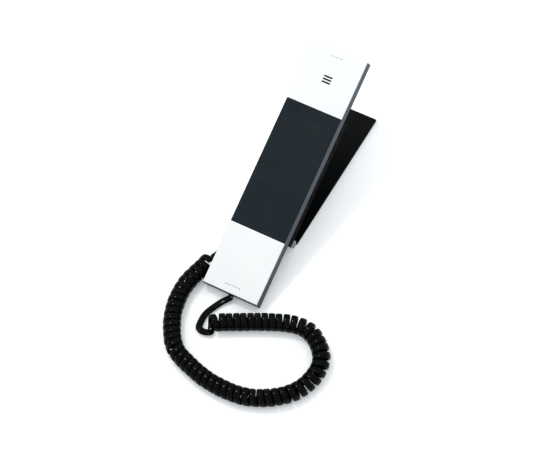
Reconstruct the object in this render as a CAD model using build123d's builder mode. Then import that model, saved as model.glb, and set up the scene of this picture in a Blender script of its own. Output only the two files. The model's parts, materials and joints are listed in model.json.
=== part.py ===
"""A slimline telephone: a flat handset lying on a leaning cradle, with a fold-out wall plate.

Millimetres, +Z up. The wall plate's rubber feet stand on Z = 0, the handset's long axis runs
along +Y with its earpiece end up, and X is across. The origin is under the middle of the
handset. "Across, along, out" are the leaning axes of the handset and its cradle: along runs
from the handset's lower end to its top, and out from its inner face to its outer face.
"""

from build123d import *
import math
import os

# ---- Driving dimensions ----
WIDTH = 51.6                  # handset across
LENGTH = 220.0                # handset, end to end
THICK = 10.2                  # handset, inner face to outer face
LEAN_DEG = 22.5               # handset and cradle, from level
LOW_END_Z = 1.5               # handset's lower inner edge above the table
GRIP_START = 56.0             # where the grip panel begins, and the cradle with it
GRIP_END = 168.0
BASE_W = 46.5                 # cradle and wall plate across
CRADLE_T = 15.0               # cradle, handset side to back
PLATE_START = 66.0            # wall plate's ends, level from the handset's lower end
PLATE_END = 202.0
PLATE_T = 1.7
FOOT_T = 0.5
COIL_D = 15.3                 # curly cord, outside its turns
WIRE_D = 3.6                  # round section as large as the cord's flat one

# ---- Shell and fit sizes ----
COVER_T = 1.2                 # handset covers
BAND_WALL = 1.6
CRADLE_WALL = 1.8
REST_GAP = 0.3                # handset's inner face to the cradle's front
CLEAR = 0.05                  # gap beside a sliding or turning piece
SEAM = 0.1                    # half the gap where two covers meet
SCREW_R = 0.9

LEAN = math.radians(LEAN_DEG)
LOW_END_Y = -(LENGTH * math.cos(LEAN) - THICK * math.sin(LEAN)) / 2
ALONG = Vector(0, math.cos(LEAN), math.sin(LEAN))
OUT = Vector(0, -math.sin(LEAN), math.cos(LEAN))
LOW_END = Vector(0, LOW_END_Y, LOW_END_Z)
FACE = Plane(origin=LOW_END, x_dir=(1, 0, 0), z_dir=OUT)
SIDE = Plane(origin=LOW_END, x_dir=ALONG, z_dir=(1, 0, 0))
ALONG_AXIS = Axis((0, 0, 0), ALONG)
OUT_AXIS = Axis((0, 0, 0), OUT)
GRIP_MID = (GRIP_START + GRIP_END) / 2
GRIP_L = GRIP_END - GRIP_START
BAND_TOP = THICK - COVER_T

os.makedirs("parts", exist_ok=True)


def place(across, along, out):
    """The point at a place given along the leaning axes."""
    return LOW_END + Vector(across, 0, 0) + ALONG * along + OUT * out


def write(built, name):
    """Labels one finished piece and writes its STEP file."""
    built.part.label = name
    export_step(built.part, f"parts/{name}.step")
    return built.part


# ---- Handset: side band, with lugs for the cover screws and a sloping lower end ----
LUG_R = 2.5
LUG_CAP_T = 0.8
LUG_ACROSS = 21.6
LUG_FROM_END = 8.0
LUG_ALONG = (LENGTH / 2 - LUG_FROM_END) * 2
CORD_OUT = 3.75
GROMMET_HOLE_R = 2.25
PARTING_W = 0.35
PARTING_DEPTH = 0.35
END_RIM = 0.5                 # the band's lower end, where it shows beside the outer cover
END_SLOPE = 0.7               # how far it leans out, down to the inner cover

with BuildPart() as handset_band:
    with BuildSketch(FACE.offset(COVER_T)):
        with Locations((0, LENGTH / 2)):
            Rectangle(WIDTH, LENGTH)
            Rectangle(WIDTH - 2 * (COVER_T + BAND_WALL), LENGTH - 2 * BAND_WALL, mode=Mode.SUBTRACT)
        with Locations((0, LENGTH / 2)), GridLocations(2 * LUG_ACROSS, LUG_ALONG, 2, 2):
            Circle(LUG_R)
    extrude(amount=BAND_TOP - COVER_T)
    with BuildSketch(FACE.offset(COVER_T)):
        with Locations((0, LENGTH / 2)), GridLocations(2 * LUG_ACROSS, LUG_ALONG, 2, 2):
            Circle(SCREW_R + CLEAR)
    extrude(amount=BAND_TOP - COVER_T - LUG_CAP_T, mode=Mode.SUBTRACT)
    with BuildSketch(SIDE.offset(-WIDTH / 2)):
        with BuildLine():
            Polyline((END_RIM, BAND_TOP), (END_RIM, THICK), (0, THICK), (-END_SLOPE, COVER_T),
                     (0, COVER_T), (0, BAND_TOP), close=True)
        make_face()
    extrude(amount=WIDTH)
    with BuildSketch(FACE.offset(THICK / 2 - PARTING_W / 2)):
        with Locations((0, LENGTH / 2)):
            Rectangle(WIDTH + 1, LENGTH + 1)
            Rectangle(WIDTH - 2 * PARTING_DEPTH, LENGTH - 2 * PARTING_DEPTH, mode=Mode.SUBTRACT)
    extrude(amount=PARTING_W, mode=Mode.SUBTRACT)
    with BuildSketch(Plane(origin=place(0, -END_SLOPE, CORD_OUT), x_dir=(1, 0, 0), z_dir=ALONG)):
        Circle(GROMMET_HOLE_R)
    extrude(amount=END_SLOPE + BAND_WALL, mode=Mode.SUBTRACT)
write(handset_band, "handset_side_band")

# ---- Handset: outer covers, in white, and the black grip panel between them ----
SLOT_W = 8.1
SLOT_H = 1.3
SLOT_PITCH = 2.5
SLOT_COUNT = 3
SOUND_ALONG = LENGTH - 26.0
RIB_T = 1.0
RIB_L = 34.0
RIB_ACROSS = 16.0
RIB_H = 1.5
COVER_EDGE_R = 0.35


def outer_cover(name, start, end, rib_along):
    """One outer plate with two inner ribs, and the sound slots in the upper cover."""
    with BuildPart() as cover:
        with BuildSketch(FACE.offset(BAND_TOP)):
            with Locations((0, (start + end) / 2)):
                Rectangle(WIDTH, end - start)
        extrude(amount=COVER_T)
        fillet(cover.faces().sort_by(OUT_AXIS)[-1].edges(), COVER_EDGE_R)
        with BuildSketch(FACE.offset(BAND_TOP)):
            with Locations((0, rib_along)), GridLocations(2 * RIB_ACROSS, 1, 2, 1):
                Rectangle(RIB_T, RIB_L)
        extrude(amount=-RIB_H)
        if name == "front_upper_cover":
            with BuildSketch(FACE.offset(BAND_TOP - RIB_H)):
                with Locations((0, SOUND_ALONG)), GridLocations(1, SLOT_PITCH, 1, SLOT_COUNT):
                    SlotOverall(SLOT_W, SLOT_H)
            extrude(amount=COVER_T + RIB_H, mode=Mode.SUBTRACT)
    return write(cover, name)


outer_cover("front_upper_cover", GRIP_END + SEAM, LENGTH, SOUND_ALONG)
outer_cover("front_lower_cover", END_RIM + CLEAR, GRIP_START - SEAM, GRIP_START / 2)
outer_cover("grip_panel", GRIP_START + SEAM, GRIP_END - SEAM, GRIP_MID)

# ---- Handset: inner covers at the ear and the mouth ----
EAR_HOLE_R = 1.0
EAR_RING_R = 4.5
EAR_HOLES = 6
MIC_ALONG = 22.0
MIC_HOLE_R = 0.7
MIC_PITCH = 3.0
HEAD_R = 1.8
HEAD_H = 0.7


def inner_cover(name, start, end, screws_along, holes, hole_r):
    """One inner cover plate with two screw recesses and its sound holes."""
    with BuildPart() as cover:
        with BuildSketch(FACE):
            with Locations((0, (start + end) / 2)):
                Rectangle(WIDTH, end - start)
            with Locations((0, screws_along)), GridLocations(2 * LUG_ACROSS, 1, 2, 1):
                Circle(SCREW_R + CLEAR, mode=Mode.SUBTRACT)
            with Locations(*holes):
                Circle(hole_r, mode=Mode.SUBTRACT)
        extrude(amount=COVER_T)
        with BuildSketch(FACE):
            with Locations((0, screws_along)), GridLocations(2 * LUG_ACROSS, 1, 2, 1):
                Circle(HEAD_R + CLEAR)
        extrude(amount=HEAD_H, mode=Mode.SUBTRACT)
    return write(cover, name)


ear_holes = [(0, SOUND_ALONG)]
for step in range(EAR_HOLES):
    turn = math.tau * step / EAR_HOLES
    ear_holes.append((EAR_RING_R * math.cos(turn), SOUND_ALONG + EAR_RING_R * math.sin(turn)))
mic_holes = [(column * MIC_PITCH, MIC_ALONG) for column in (-1, 0, 1)]
inner_cover("rear_upper_cover", GRIP_END + SEAM, LENGTH, LENGTH - LUG_FROM_END, ear_holes, EAR_HOLE_R)
inner_cover("rear_lower_cover", -END_SLOPE, GRIP_START - SEAM, LUG_FROM_END, mic_holes, MIC_HOLE_R)

# ---- Handset: keypad panel and its keys, on the inner face ----
KEY_W = 11.0
KEY_L = 7.4
FUNCTION_KEY_L = 4.6
KEY_PITCH_ACROSS = 14.0
KEY_PITCH_ALONG = 11.5
FIRST_ROW = 141.0
FUNCTION_ROW = 92.0
KEY_R = 1.6
FUNCTION_KEY_R = 1.4
KEY_SIDE_GAP = 0.2
KEY_SUNK = 0.25               # key top below the inner face
KEY_FLANGE = 0.8
KEY_FLANGE_T = 0.7
KEYPAD_END = 151.0            # where the keypad panel meets the hook panel
HANG_TAB = (12.0, 5.0)
HANG_TAB_ALONG = 157.5
HANG_TAB_H = 1.9
HANG_POCKET = (12.8, 5.8)
POST_R = 1.2
POST_ACROSS = 17.0
POST_ROWS = (66.0, 148.8)
MAT_OUT = 2.6
BOARD_OUT = 3.3
BOARD_T = 1.0

# Seen from the inner face, the left column is at +X.
KEY_ROWS = (("1", "2", "3"), ("4", "5", "6"), ("7", "8", "9"), ("star", "0", "hash"))
FUNCTION_KEYS = ("flash", "redial", "mute")
KEYS = {}
for row, names in enumerate(KEY_ROWS):
    for column, digit in enumerate(names):
        across = (1 - column) * KEY_PITCH_ACROSS
        KEYS[f"key_{digit}"] = (across, FIRST_ROW - row * KEY_PITCH_ALONG, KEY_L, KEY_R)
for column, word in enumerate(FUNCTION_KEYS):
    across = (1 - column) * KEY_PITCH_ACROSS
    KEYS[f"key_{word}"] = (across, FUNCTION_ROW, FUNCTION_KEY_L, FUNCTION_KEY_R)

with BuildPart() as keypad_panel:
    with BuildSketch(FACE):
        with Locations((0, (GRIP_START + KEYPAD_END) / 2)):
            Rectangle(WIDTH, KEYPAD_END - GRIP_START - 2 * SEAM)
        for across, along, length, corner in KEYS.values():
            with Locations((across, along)):
                RectangleRounded(
                    KEY_W + 2 * KEY_SIDE_GAP, length + 2 * KEY_SIDE_GAP, corner, mode=Mode.SUBTRACT
                )
    extrude(amount=COVER_T)
    with BuildSketch(FACE.offset(COVER_T)):
        for along in POST_ROWS:
            with Locations((0, along)), GridLocations(2 * POST_ACROSS, 1, 2, 1):
                Circle(POST_R)
    extrude(amount=BOARD_OUT - COVER_T)
write(keypad_panel, "keypad_panel")

with BuildPart() as hook_panel:
    with BuildSketch(FACE):
        with Locations((0, (KEYPAD_END + GRIP_END) / 2)):
            Rectangle(WIDTH, GRIP_END - KEYPAD_END - 2 * SEAM)
        with Locations((0, HANG_TAB_ALONG)):
            Rectangle(*HANG_POCKET, mode=Mode.SUBTRACT)
    extrude(amount=COVER_T)
write(hook_panel, "hook_panel")

for name, (across, along, length, corner) in KEYS.items():
    with BuildPart() as key:
        with BuildSketch(FACE.offset(KEY_SUNK)):
            with Locations((across, along)):
                RectangleRounded(KEY_W, length, corner)
        extrude(amount=COVER_T + CLEAR - KEY_SUNK)
        inner_face = key.faces().sort_by(OUT_AXIS)[0]
        fillet(inner_face.edges(), KEY_SUNK)
        with BuildSketch(FACE.offset(COVER_T + CLEAR)):
            with Locations((across, along)):
                RectangleRounded(KEY_W + 2 * KEY_FLANGE, length + 2 * KEY_FLANGE, corner)
        extrude(amount=KEY_FLANGE_T)
    write(key, name)

MAT_SIZE = (42.0, 64.0)
MAT_R = 1.0
MAT_ALONG = 115.5
with BuildPart() as keypad_mat:
    with BuildSketch(FACE.offset(MAT_OUT)):
        with Locations((0, MAT_ALONG)):
            RectangleRounded(*MAT_SIZE, MAT_R)
    extrude(amount=BOARD_OUT - MAT_OUT)
write(keypad_mat, "keypad_mat")

BOARD_W = 42.0
BOARD_ENDS = (62.0, 151.0)
CHIP = (9.0, 12.0)
CHIP_T = 1.4
CHIPS = ((-8, 100), (9, 104), (0, 132))
with BuildPart() as handset_board:
    with BuildSketch(FACE.offset(BOARD_OUT)):
        with Locations((0, sum(BOARD_ENDS) / 2)):
            Rectangle(BOARD_W, BOARD_ENDS[1] - BOARD_ENDS[0])
    extrude(amount=BOARD_T)
    with BuildSketch(FACE.offset(BOARD_OUT + BOARD_T)):
        with Locations(*CHIPS):
            Rectangle(*CHIP)
    extrude(amount=CHIP_T)
write(handset_board, "handset_board")

# ---- Handset: sound pieces and ballast ----
EAR_FRAME_R = 13.0
EAR_FRAME_T = 1.5
EAR_MAGNET_R = 9.5
EAR_MAGNET_T = 1.0
with BuildPart() as earpiece:
    with BuildSketch(FACE.offset(COVER_T)):
        with Locations((0, SOUND_ALONG)):
            Circle(EAR_FRAME_R)
    extrude(amount=EAR_FRAME_T)
    with BuildSketch(FACE.offset(COVER_T + EAR_FRAME_T)):
        with Locations((0, SOUND_ALONG)):
            Circle(EAR_MAGNET_R)
    extrude(amount=EAR_MAGNET_T)
write(earpiece, "earpiece")

CLOTH_T = 0.3
CLOTH_R = 11.5
MAGNET_OUT = 4.0
MAGNET_R = 8.0
CONE_OUT = 4.6
CONE_T = 0.5
RING_OUT = 5.0
RING_R = 12.0
RING_W = 1.5
with BuildPart() as ringer_speaker:
    with BuildSketch(FACE.offset(MAGNET_OUT)):
        with Locations((0, SOUND_ALONG)):
            Circle(MAGNET_R)
    extrude(amount=RING_OUT - MAGNET_OUT)
    with BuildSketch(FACE.offset(RING_OUT)):
        with Locations((0, SOUND_ALONG)):
            Circle(RING_R)
            Circle(RING_R - RING_W, mode=Mode.SUBTRACT)
    extrude(amount=BAND_TOP - CLOTH_T - RING_OUT)
    with BuildSketch(FACE.offset(CONE_OUT)):
        with Locations((0, SOUND_ALONG)):
            Circle(RING_R - RING_W / 2)
    extrude(amount=CONE_T)
write(ringer_speaker, "ringer_speaker")

with BuildPart() as speaker_cloth:
    with BuildSketch(FACE.offset(BAND_TOP - CLOTH_T)):
        with Locations((0, SOUND_ALONG)):
            Circle(CLOTH_R)
    extrude(amount=CLOTH_T)
write(speaker_cloth, "speaker_cloth")

MIC_R = 4.8
MIC_T = 3.0
with BuildPart() as microphone:
    with BuildSketch(FACE.offset(COVER_T)):
        with Locations((0, MIC_ALONG)):
            Circle(MIC_R)
    extrude(amount=MIC_T)
write(microphone, "microphone")

WEIGHT_SIZE = (13.0, 22.0)
WEIGHT_T = 3.6
WEIGHT_ALONG = 40.0
WEIGHT_PITCH = 22.0
with BuildPart() as handset_weights:
    with BuildSketch(FACE.offset(COVER_T)):
        with Locations((0, WEIGHT_ALONG)), GridLocations(WEIGHT_PITCH, 1, 2, 1):
            Rectangle(*WEIGHT_SIZE)
    extrude(amount=WEIGHT_T)
write(handset_weights, "handset_weights")

HANDSET_SCREW_L = 5.0
SOCKET_R = 0.7
SOCKET_DEPTH = 0.45
with BuildPart() as handset_screws:
    with BuildSketch(FACE):
        with Locations((0, LENGTH / 2)), GridLocations(2 * LUG_ACROSS, LUG_ALONG, 2, 2):
            Circle(HEAD_R)
    extrude(amount=HEAD_H)
    with BuildSketch(FACE):
        with Locations((0, LENGTH / 2)), GridLocations(2 * LUG_ACROSS, LUG_ALONG, 2, 2):
            Circle(SCREW_R)
    extrude(amount=HANDSET_SCREW_L)
    with BuildSketch(FACE):
        with Locations((0, LENGTH / 2)), GridLocations(2 * LUG_ACROSS, LUG_ALONG, 2, 2):
            RegularPolygon(SOCKET_R, 6)
    extrude(amount=SOCKET_DEPTH, mode=Mode.SUBTRACT)
write(handset_screws, "handset_screws")

# ---- Handset: rubber grommet where the cord leaves its lower end ----
GROMMET_TIP = 1.5
GROMMET_TIP_R = 2.1
GROMMET_LIP_R = 2.5
GROMMET_LIP_T = 1.8
CORD_PLANE = Plane(origin=place(0, -GROMMET_TIP, CORD_OUT), x_dir=(1, 0, 0), z_dir=ALONG)
with BuildPart() as cord_grommet:
    with BuildSketch(CORD_PLANE):
        Circle(GROMMET_TIP_R)
    extrude(amount=GROMMET_TIP)
    with BuildSketch(CORD_PLANE.offset(GROMMET_TIP)):
        Circle(GROMMET_HOLE_R - CLEAR)
    extrude(amount=BAND_WALL + CLEAR)
    with BuildSketch(CORD_PLANE.offset(GROMMET_TIP + BAND_WALL + CLEAR)):
        Circle(GROMMET_LIP_R)
    extrude(amount=GROMMET_LIP_T)
write(cord_grommet, "cord_grommet")

# ---- Cradle: front shell with the hanging lug, openings and screw posts ----
SHELL_BACK = -CRADLE_T + CRADLE_WALL
SHELL_IN = -REST_GAP - CRADLE_WALL
PLUNGER = (6.0, 70.0)
PLUNGER_R = 3.0
CORD_JACK = (-10.8, 10.4, 14.0)          # across, width, depth
LINE_JACK = (85.0, 13.2, 14.25)          # along, width, depth
JACK_H = 8.2
JACK_BACK = SHELL_IN - JACK_H
JACK_MID = SHELL_IN - JACK_H / 2
SWITCH_SLOT = (7.0, 2.6)
SWITCHES = {"ringer_switch": 110.0, "tone_switch": 130.0}
COVER_POST_R = 2.6
COVER_POSTS = (38.0, GRIP_L - 10.0)
PAD_SIZE = (36.0, 4.5)
PAD_T = 0.8
PAD_ROWS = (61.5, 164.0)
PAD_TOP = -CLEAR
PLUNGER_GAP = 0.1
POST_HOLE_DEPTH = 6.0

with BuildPart() as cradle_shell:
    with BuildSketch(FACE.offset(SHELL_BACK)):
        with Locations((0, GRIP_MID)):
            Rectangle(BASE_W, GRIP_L)
    extrude(amount=-REST_GAP - SHELL_BACK)
    with BuildSketch(FACE.offset(SHELL_BACK)):
        with Locations((0, GRIP_MID)):
            Rectangle(BASE_W - 2 * CRADLE_WALL, GRIP_L - 2 * CRADLE_WALL)
            with GridLocations(*COVER_POSTS, 2, 2):
                Circle(COVER_POST_R, mode=Mode.SUBTRACT)
    extrude(amount=SHELL_IN - SHELL_BACK, mode=Mode.SUBTRACT)
    with BuildSketch(FACE.offset(SHELL_BACK)):
        with Locations((0, GRIP_MID)), GridLocations(*COVER_POSTS, 2, 2):
            Circle(SCREW_R + CLEAR)
    extrude(amount=POST_HOLE_DEPTH, mode=Mode.SUBTRACT)
    with BuildSketch(FACE.offset(-REST_GAP)):
        with Locations((0, HANG_TAB_ALONG)):
            Rectangle(*HANG_TAB)
        with Locations(PLUNGER):
            Circle(PLUNGER_R + PLUNGER_GAP)
    extrude(amount=-CRADLE_WALL, mode=Mode.SUBTRACT)
    with BuildSketch(FACE.offset(PAD_TOP - PAD_T)):
        for along in PAD_ROWS:
            with Locations((0, along)):
                Rectangle(*PAD_SIZE)
    extrude(amount=PAD_T, mode=Mode.SUBTRACT)
    with BuildSketch(FACE.offset(JACK_BACK)):
        with Locations((CORD_JACK[0], GRIP_START + CRADLE_WALL / 2)):
            Rectangle(CORD_JACK[1], CRADLE_WALL)
        with Locations(((CRADLE_WALL - BASE_W) / 2, LINE_JACK[0])):
            Rectangle(CRADLE_WALL, LINE_JACK[1])
    extrude(amount=JACK_H, mode=Mode.SUBTRACT)
    with BuildSketch(SIDE.offset(-BASE_W / 2)):
        for along in SWITCHES.values():
            with Locations((along, JACK_MID)):
                Rectangle(*SWITCH_SLOT)
    extrude(amount=CRADLE_WALL, mode=Mode.SUBTRACT)
write(cradle_shell, "cradle_shell")

TAB_FLANGE = 1.2
with BuildPart() as hang_tab:
    with BuildSketch(FACE.offset(SHELL_IN - TAB_FLANGE)):
        with Locations((0, HANG_TAB_ALONG)):
            Rectangle(HANG_TAB[0] + 2 * TAB_FLANGE, HANG_TAB[1] + 2 * TAB_FLANGE)
    extrude(amount=TAB_FLANGE)
    with BuildSketch(FACE.offset(SHELL_IN)):
        with Locations((0, HANG_TAB_ALONG)):
            Rectangle(*HANG_TAB)
    extrude(amount=CRADLE_WALL + REST_GAP + HANG_TAB_H)
write(hang_tab, "hang_tab")

with BuildPart() as rest_pads:
    with BuildSketch(FACE.offset(PAD_TOP - PAD_T)):
        for along in PAD_ROWS:
            with Locations((0, along)):
                Rectangle(*PAD_SIZE)
    extrude(amount=PAD_T)
write(rest_pads, "rest_pads")

# ---- Cradle: back cover, its posts and its screws ----
BRACKET_SCREWS = 18.0
BRACKET_SCREW_ALONG = 68.0
COVER_HEAD_R = 2.0
BASE_BOARD_OUT = -11.5
BASE_BOARD_T = JACK_BACK - BASE_BOARD_OUT
BASE_BOARD_W = 31.6
BASE_BOARD_ENDS = (72.5, 142.0)
COVER_HEAD_DEPTH = 0.9
BACK_EDGE = 0.4
BOARD_POST_R = 2.0
BOARD_POSTS = ((-12, 80), (12, 80), (-12, 136), (12, 136))

with BuildPart() as cradle_back_cover:
    with BuildSketch(FACE.offset(-CRADLE_T)):
        with Locations((0, GRIP_MID)):
            Rectangle(BASE_W, GRIP_L)
    extrude(amount=CRADLE_WALL)
    back_face = cradle_back_cover.faces().sort_by(OUT_AXIS)[0]
    chamfer(back_face.edges(), BACK_EDGE)
    with BuildSketch(FACE.offset(SHELL_BACK)):
        with Locations(*BOARD_POSTS):
            Circle(BOARD_POST_R)
    extrude(amount=BASE_BOARD_OUT - SHELL_BACK)
    with BuildSketch(FACE.offset(-CRADLE_T)):
        with Locations((0, GRIP_MID)), GridLocations(*COVER_POSTS, 2, 2):
            Circle(COVER_HEAD_R + CLEAR)
    extrude(amount=COVER_HEAD_DEPTH, mode=Mode.SUBTRACT)
    with BuildSketch(FACE.offset(-CRADLE_T)):
        with Locations((0, GRIP_MID)), GridLocations(*COVER_POSTS, 2, 2):
            Circle(SCREW_R + CLEAR)
        with Locations((0, BRACKET_SCREW_ALONG)), GridLocations(BRACKET_SCREWS, 1, 3, 1):
            Circle(SCREW_R + CLEAR)
    extrude(amount=CRADLE_WALL, mode=Mode.SUBTRACT)
write(cradle_back_cover, "cradle_back_cover")

COVER_SCREW_L = 7.0
CROSS = (2.4, 0.5)            # the screwdriver cross, length and width
CROSS_DEPTH = 0.5
with BuildPart() as cradle_screws:
    with BuildSketch(FACE.offset(-CRADLE_T)):
        with Locations((0, GRIP_MID)), GridLocations(*COVER_POSTS, 2, 2):
            Circle(COVER_HEAD_R)
    extrude(amount=COVER_HEAD_DEPTH)
    with BuildSketch(FACE.offset(-CRADLE_T)):
        with Locations((0, GRIP_MID)), GridLocations(*COVER_POSTS, 2, 2):
            Circle(SCREW_R)
    extrude(amount=COVER_SCREW_L)
    with BuildSketch(FACE.offset(-CRADLE_T)):
        with Locations((0, GRIP_MID)), GridLocations(*COVER_POSTS, 2, 2):
            Rectangle(*CROSS)
            Rectangle(CROSS[1], CROSS[0])
    extrude(amount=CROSS_DEPTH, mode=Mode.SUBTRACT)
write(cradle_screws, "cradle_screws")

# ---- Cradle: what it holds inside ----
HOOK_EAR = (12.0, 8.0)        # the part of the board that carries the hook switch
HOOK_EAR_AT = (6.0, 69.0)
BASE_CHIP = (8.0, 10.0)
BASE_CHIP_T = 2.4
BASE_CHIPS = ((8, 88), (8, 112), (-4, 122))
with BuildPart() as base_board:
    with BuildSketch(FACE.offset(BASE_BOARD_OUT)):
        with Locations((0, sum(BASE_BOARD_ENDS) / 2)):
            Rectangle(BASE_BOARD_W, BASE_BOARD_ENDS[1] - BASE_BOARD_ENDS[0])
        with Locations(HOOK_EAR_AT):
            Rectangle(*HOOK_EAR)
    extrude(amount=BASE_BOARD_T)
    with BuildSketch(FACE.offset(JACK_BACK)):
        with Locations(*BASE_CHIPS):
            Rectangle(*BASE_CHIP)
    extrude(amount=BASE_CHIP_T)
write(base_board, "base_board")

BASE_WEIGHT = (34.0, 36.0)
BASE_WEIGHT_T = 4.0
BASE_WEIGHT_ALONG = 118.0
with BuildPart() as base_weight:
    with BuildSketch(FACE.offset(SHELL_IN - BASE_WEIGHT_T)):
        with Locations((0, BASE_WEIGHT_ALONG)):
            Rectangle(*BASE_WEIGHT)
    extrude(amount=BASE_WEIGHT_T)
write(base_weight, "base_weight")

PLUG_W = 7.6
PLUG_H = 5.8
PLUG_IN = 12.0
PLUG_OUT = 9.0
SOCKET_GAP = 0.15
with BuildPart() as handset_cord_jack:
    with BuildSketch(FACE.offset(JACK_BACK)):
        with Locations((CORD_JACK[0], GRIP_START + CORD_JACK[2] / 2)):
            Rectangle(CORD_JACK[1], CORD_JACK[2])
    extrude(amount=JACK_H)
    with BuildSketch(FACE.offset(JACK_MID - PLUG_H / 2 - SOCKET_GAP)):
        with Locations((CORD_JACK[0], GRIP_START + (PLUG_IN + SOCKET_GAP) / 2)):
            Rectangle(PLUG_W + 2 * SOCKET_GAP, PLUG_IN + SOCKET_GAP)
    extrude(amount=PLUG_H + 2 * SOCKET_GAP, mode=Mode.SUBTRACT)
write(handset_cord_jack, "handset_cord_jack")

LINE_SOCKET = (10.0, 6.6, 12.0)          # width, height, depth
with BuildPart() as line_jack:
    with BuildSketch(SIDE.offset(-BASE_W / 2)):
        with Locations((LINE_JACK[0], JACK_MID)):
            Rectangle(LINE_JACK[1], JACK_H)
    extrude(amount=LINE_JACK[2])
    with BuildSketch(SIDE.offset(-BASE_W / 2)):
        with Locations((LINE_JACK[0], JACK_MID)):
            Rectangle(LINE_SOCKET[0], LINE_SOCKET[1])
    extrude(amount=LINE_SOCKET[2], mode=Mode.SUBTRACT)
write(line_jack, "line_jack")

SWITCH_TOP = -7.5
HOOK_SWITCH = (6.0, 11.0)
with BuildPart() as hook_switch:
    with BuildSketch(FACE.offset(JACK_BACK)):
        with Locations(PLUNGER):
            Rectangle(*HOOK_SWITCH)
    extrude(amount=SWITCH_TOP - JACK_BACK)
write(hook_switch, "hook_switch")

FLANGE_BOTTOM = -6.0
LEAF_T = 0.3
LEAF_W = 3.0
LEAF_FOOT = 75.0              # the leaf spring's bends, along
LEAF_BEND = 72.5
LEAF_REST = 69.0
LEAF_TIP = 66.0
LEAF_TOP = FLANGE_BOTTOM - CLEAR
with BuildPart() as hook_leaf_spring:
    with BuildSketch(SIDE.offset(PLUNGER[0] - LEAF_W / 2)):
        with BuildLine():
            Polyline(
                (LEAF_FOOT, SWITCH_TOP),
                (LEAF_FOOT, SWITCH_TOP + LEAF_T),
                (LEAF_BEND, SWITCH_TOP + LEAF_T),
                (LEAF_REST, LEAF_TOP),
                (LEAF_TIP, LEAF_TOP),
                (LEAF_TIP, LEAF_TOP - LEAF_T),
                (LEAF_REST, LEAF_TOP - LEAF_T),
                (LEAF_BEND, SWITCH_TOP),
                close=True,
            )
        make_face()
    extrude(amount=LEAF_W)
write(hook_leaf_spring, "hook_leaf_spring")

PLUNGER_FLANGE = 1.2
PLUNGER_FLANGE_T = 0.8
PLUNGER_TOP = -0.1
PLUNGER_EDGE_R = 0.8
FLANGE_TOP = FLANGE_BOTTOM + PLUNGER_FLANGE_T
with BuildPart() as hook_plunger:
    with BuildSketch(FACE.offset(FLANGE_BOTTOM)):
        with Locations(PLUNGER):
            Circle(PLUNGER_R + PLUNGER_FLANGE)
    extrude(amount=PLUNGER_FLANGE_T)
    with BuildSketch(FACE.offset(FLANGE_TOP)):
        with Locations(PLUNGER):
            Circle(PLUNGER_R)
    extrude(amount=PLUNGER_TOP - FLANGE_TOP)
    fillet(hook_plunger.edges().sort_by(OUT_AXIS)[-1], PLUNGER_EDGE_R)
write(hook_plunger, "hook_plunger")

KNOB = (3.5, 2.2)
KNOB_PROUD = 1.0
KNOB_EDGE_R = 0.3
KNOB_GUIDE = (7.0, 4.4)
KNOB_GUIDE_T = 1.0
SWITCH_TRAVEL = 3.0
for name, along in SWITCHES.items():
    with BuildPart() as knob:
        with BuildSketch(SIDE.offset(-BASE_W / 2 - KNOB_PROUD)):
            with Locations((along - SWITCH_TRAVEL / 2, JACK_MID)):
                Rectangle(*KNOB)
        extrude(amount=KNOB_PROUD + CRADLE_WALL + CLEAR)
        fillet(knob.faces().sort_by(Axis.X)[0].edges(), KNOB_EDGE_R)
        with BuildSketch(SIDE.offset(-BASE_W / 2 + CRADLE_WALL + CLEAR)):
            with Locations((along - SWITCH_TRAVEL / 2, JACK_MID)):
                Rectangle(*KNOB_GUIDE)
        extrude(amount=KNOB_GUIDE_T)
    write(knob, name)

# ---- Hinge: aluminium bracket on the cradle, steel pin, and the wall plate's knuckles ----
AXIS_ALONG = GRIP_START + 3.4
AXIS_OUT = -20.0
BARREL_R = 3.3
PIN_R = 1.25
STRAP_T = 1.5
KNUCKLE_ACROSS = 12.0
KNUCKLE_W = 6.0
NOTCH_W = KNUCKLE_W + 0.6
NOTCH_DEPTH = 9.0
STRAP_END = 73.0
STRAP_INSET = 3.0             # the strap's sides inside the barrel's ends
AXIS = place(0, AXIS_ALONG, AXIS_OUT)

with BuildPart() as hinge_bracket:
    with BuildSketch(SIDE.offset(STRAP_INSET - BASE_W / 2)):
        with Locations(((GRIP_START + STRAP_END) / 2, -CRADLE_T - STRAP_T / 2)):
            Rectangle(STRAP_END - GRIP_START, STRAP_T)
    extrude(amount=BASE_W - 2 * STRAP_INSET)
    with BuildSketch(SIDE.offset(-BASE_W / 2)):
        with Locations((AXIS_ALONG, (AXIS_OUT - CRADLE_T) / 2)):
            Rectangle(2 * BARREL_R, -CRADLE_T - AXIS_OUT)
        with Locations((AXIS_ALONG, AXIS_OUT)):
            Circle(BARREL_R)
    extrude(amount=BASE_W)
    for side in (-1, 1):
        with BuildSketch(SIDE.offset(side * KNUCKLE_ACROSS - NOTCH_W / 2)):
            with Locations((AXIS_ALONG, -CRADLE_T - STRAP_T - NOTCH_DEPTH / 2)):
                Rectangle(2 * BARREL_R + 1, NOTCH_DEPTH)
        extrude(amount=NOTCH_W, mode=Mode.SUBTRACT)
    with BuildSketch(SIDE.offset(-BASE_W / 2)):
        with Locations((AXIS_ALONG, AXIS_OUT)):
            Circle(PIN_R + CLEAR)
    extrude(amount=BASE_W, mode=Mode.SUBTRACT)
    with BuildSketch(FACE.offset(-CRADLE_T - STRAP_T)):
        with Locations((0, BRACKET_SCREW_ALONG)), GridLocations(BRACKET_SCREWS, 1, 3, 1):
            Circle(SCREW_R + CLEAR)
    extrude(amount=STRAP_T, mode=Mode.SUBTRACT)
write(hinge_bracket, "hinge_bracket")

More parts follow.
